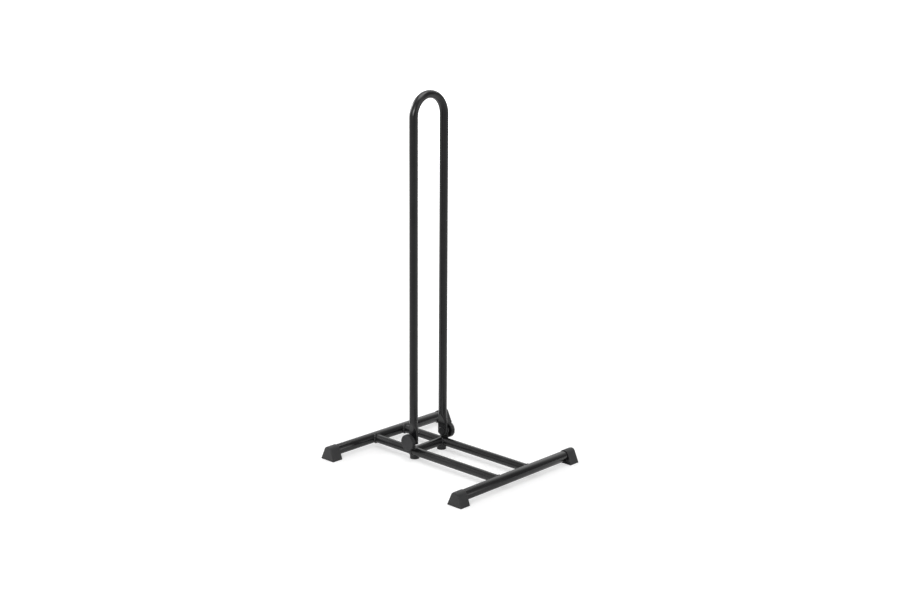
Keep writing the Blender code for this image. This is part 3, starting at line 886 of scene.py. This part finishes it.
def addKnob(sideName):
    # From the closed end of the insert's hole, out of its mouth, through the hollow back and
    # round the outside
    node = f"{sideName}_knob"
    near, far = outSpan(node, sideName)
    insert = f"{sideName}_knob_insert"
    hole = sizeOf(insert).z / 2 + hardware["seat"]
    discBack, hub, hubEdge = far - knob["thickness"], knob["hubRadius"], knob["hubEdge"]
    radius, edge, depth = knob["radius"], knob["edge"], knob["fluteDepth"]
    hollowEnd, rimInside = far - knob["faceWall"], radius - knob["rimWall"]
    sections = [knobRing(hole, outSpan(insert, sideName)[1] + hardware["seat"]), knobRing(hole, near),
                knobRing(hub - hubEdge, near), knobRing(hub, near + hubEdge), knobRing(hub, hollowEnd),
                knobRing(rimInside, hollowEnd), knobRing(rimInside, discBack)]
    roundings = quarterTurn(knob["edgeSteps"])
    for angle in roundings:
        sections.append(knobRing(radius - edge * (1 - math.sin(angle)),
                                 discBack + edge * (1 - math.cos(angle)), depth))
    for angle in roundings:
        sections.append(knobRing(radius - edge * (1 - math.cos(angle)),
                                 far - edge * (1 - math.sin(angle)), depth))
    sections.append(knobRing(radius * knob["faceShare"], far))
    bm = stackSections(sections)
    turnTo(bm, *outFrom(sideName))
    addPiece(f"{node}_moulded", bm, finish["knobPlastic"], node, [node])


for sideName in sides:
    addKnob(sideName)
print("knobs moulded")


# Floor, room, lamp and camera

stage = {"size": 60.0, "rough": 0.9, "colour": 0.86, "seenColour": 0.65,
         "glow": 0.47, "farGlow": 1.2, "farFrom": 0.4, "farTo": 2.5,
         "mirrorGlow": 0.22, "mirrorFarGlow": 0.18, "mirrorFrom": 0.3, "mirrorTo": 1.2,
         "openSide": (0.688, -0.725, 0.0), "openLoss": 0.42, "openFrom": 0.12, "openTo": 0.40,
         "coneFrom": -0.2, "coneTo": 0.95}


def addProduct(tree, *factors):
    product = factors[0]
    for factor in factors[1:]:
        product = addMath(tree, "MULTIPLY", product, factor)
    return product


def buildFloorLook():
    # White to the camera and pale in reflections, apart from the shadows. All but the camera see
    # it darker towards the studio's open side
    material = bpy.data.materials.new("pale_floor")
    material.use_nodes = True
    tree = material.node_tree
    shader = tree.nodes["Principled BSDF"]
    shader.inputs["Roughness"].default_value = stage["rough"]
    shader.inputs["Specular IOR Level"].default_value = 0
    shader.inputs["Emission Color"].default_value = (1, 1, 1, 1)
    place = tree.nodes.new("ShaderNodeTexCoord").outputs["Object"]
    distance = addVectorMath(tree, "LENGTH", place)
    path = tree.nodes.new("ShaderNodeLightPath").outputs
    seen = addMath(tree, "MAXIMUM", path["Is Camera Ray"], path["Is Glossy Ray"])
    seen = addMath(tree, "MAXIMUM", seen, path["Is Transmission Ray"])
    unseen = addMath(tree, "SUBTRACT", 1, path["Is Camera Ray"])
    along = addVectorMath(tree, "DOT_PRODUCT", place, stage["openSide"])
    aimed = addMath(tree, "DIVIDE", along, distance)
    cone = addRange(tree, aimed, 0, 1, stage["coneFrom"], stage["coneTo"])
    loss = addRange(tree, distance, 0, stage["openLoss"], stage["openFrom"], stage["openTo"])
    kept = addMath(tree, "SUBTRACT", 1, addProduct(tree, cone, loss, unseen))
    colour = addRange(tree, seen, stage["colour"], stage["seenColour"])
    tree.links.new(addProduct(tree, colour, kept), shader.inputs["Base Color"])
    direct = addRange(tree, distance, stage["glow"], stage["farGlow"], stage["farFrom"],
                      stage["farTo"])
    mirrored = addRange(tree, distance, stage["mirrorGlow"], stage["mirrorFarGlow"],
                        stage["mirrorFrom"], stage["mirrorTo"])
    glow = addRange(tree, path["Is Camera Ray"], mirrored, direct)
    tree.links.new(addProduct(tree, glow, seen, kept), shader.inputs["Emission Strength"])
    return material


def buildFloor():
    bm = bmesh.new()
    bmesh.ops.create_grid(bm, x_segments=1, y_segments=1, size=stage["size"] / 2)
    mesh = meshFrom(bm, "floor")
    mesh.materials.append(buildFloorLook())
    addObject("floor", mesh)


# Where each soft light of the room lies, how bright it is and how fast it fades off its middle
room = {"plain": 0.2, "lights": [
    {"aim": (-0.411, 0.671, 0.616), "strength": 1.35, "fade": 7},
    {"aim": (-0.514, -0.840, 0.174), "strength": 0.38, "fade": 2},
    {"aim": (0.39, -0.855, 0.342), "strength": 9.0, "fade": 50},
    {"aim": (-0.927, -0.188, 0.326), "strength": 14.0, "fade": 44},
    {"aim": (0.864, 0.053, 0.5), "strength": 0.6, "fade": 12},
    {"aim": (0.938, 0.332, 0.105), "strength": 2.5, "fade": 60}]}


def addSoftLight(tree, view, aim, strength, fade):
    near = addMath(tree, "MAXIMUM", addVectorMath(tree, "DOT_PRODUCT", view, aim), 0)
    return addMath(tree, "MULTIPLY", addMath(tree, "POWER", near, fade), strength)


def buildWorld():
    # White to the camera, and a pale room with a few soft lights to everything else
    world = bpy.data.worlds.new("studio")
    bpy.context.scene.world = world
    world.use_nodes = True
    tree = world.node_tree
    background = tree.nodes["Background"]
    background.inputs["Color"].default_value = (1, 1, 1, 1)
    view = tree.nodes.new("ShaderNodeTexCoord").outputs["Generated"]
    light = room["plain"]
    for soft in room["lights"]:
        light = addMath(tree, "ADD", addSoftLight(tree, view, **soft), light)
    path = tree.nodes.new("ShaderNodeLightPath").outputs
    tree.links.new(addMath(tree, "MAXIMUM", light, path["Is Camera Ray"]),
                   background.inputs["Strength"])


lamp = {"place": (0.05, 0.05, 2.4), "target": (0, 0, 0.3), "size": 1.4, "power": 18.0}


def addLamp(name, place, target, size, power):
    light = bpy.data.lights.new(name, "AREA")
    light.shape = "SQUARE"
    light.size = size
    light.energy = power
    item = addObject(name, light)
    item.location = place
    item.rotation_euler = (Vector(target) - Vector(place)).to_track_quat("-Z", "Y").to_euler()


shot = {"azimuth": 43.49, "elevation": 14.533, "roll": 0.34, "distance": 2.9961, "lens": 61.24,
        "sensor": 36, "target": (-0.00025, 0, 0.33216), "nudge": 0.00098}


def buildCamera():
    azimuth, elevation, roll = (math.radians(shot[key]) for key in ("azimuth", "elevation", "roll"))
    back = Vector((math.sin(azimuth) * math.cos(elevation), -math.cos(azimuth) * math.cos(elevation),
                   math.sin(elevation)))
    right = Vector((math.cos(azimuth), math.sin(azimuth), 0))
    up = back.cross(right)
    rolledRight = right * math.cos(roll) + up * math.sin(roll)
    rolledUp = up * math.cos(roll) - right * math.sin(roll)
    target = Vector(shot["target"]) + (rolledUp - rolledRight) * shot["nudge"]
    camera = bpy.data.cameras.new("camera")
    camera.sensor_width = shot["sensor"]
    camera.lens = shot["lens"]
    item = addObject("camera", camera)
    item.matrix_world = Matrix.Translation(target + back * shot["distance"]) @ Matrix(
        (rolledRight, rolledUp, back)).transposed().to_4x4()
    bpy.context.scene.camera = item


buildFloor()
buildWorld()
addLamp("top_light", **lamp)
buildCamera()
bpy.context.scene.view_settings.view_transform = "Standard"
print("stage, lights and camera set")
